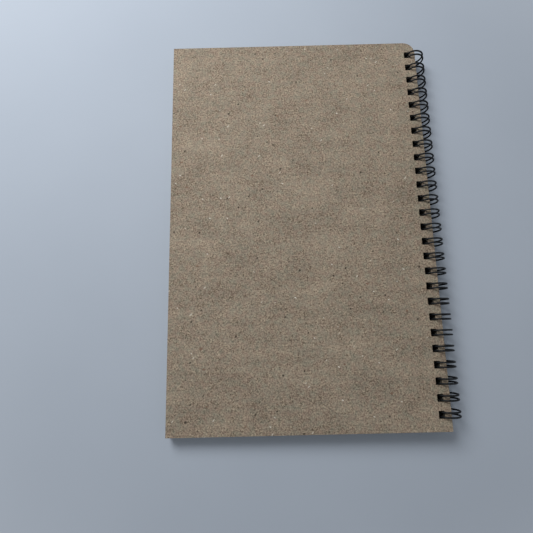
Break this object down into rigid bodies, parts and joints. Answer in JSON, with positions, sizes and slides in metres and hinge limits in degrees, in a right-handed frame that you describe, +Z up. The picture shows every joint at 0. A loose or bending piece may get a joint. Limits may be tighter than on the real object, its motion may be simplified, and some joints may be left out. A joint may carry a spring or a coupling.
{
  "type": "wire-bound notebook",
  "caption": "Closed notebook with bare recycled-board covers, a plain page block and a black twin-loop wire along one long edge.",
  "frame": {"origin": "centre of the bounding box in X and Y, on the surface that the closed notebook lies on", "axes": "+X across the cover towards the bound edge, +Y along the binding towards the head of the sheets, +Z up out of the upper cover"},
  "size_m": [0.1558, 0.2286, 0.0122],
  "materials": {
    "cover_board": "matte",
    "paper": "matte",
    "coated_wire": "satin"
  },
  "bodies": {
    "page_block": {"page_block": "paper"},
    "front_cover": {"front_cover": "cover_board"},
    "back_cover": {"back_cover": "cover_board"},
    "twin_loop_wire": {"twin_loop_wire": "coated_wire"}
  },
  "joints": [
    {"name": "back_cover_turn", "type": "hinge", "parent": "page_block", "child": "back_cover", "pos_m": [0.07179, 0, 0.0061], "axis": [0, 1, 0], "range_deg": [0, 181.9]},
    {"name": "front_cover_turn", "type": "hinge", "parent": "page_block", "child": "front_cover", "pos_m": [0.07179, 0, 0.0061], "axis": [0, 1, 0], "range_deg": [-181.9, 0]},
    {"name": "wire_turn", "type": "hinge", "parent": "front_cover", "child": "twin_loop_wire", "pos_m": [0.07179, 0, 0.0061], "axis": [0, 1, 0], "range_deg": [-45, 15]}
  ]
}
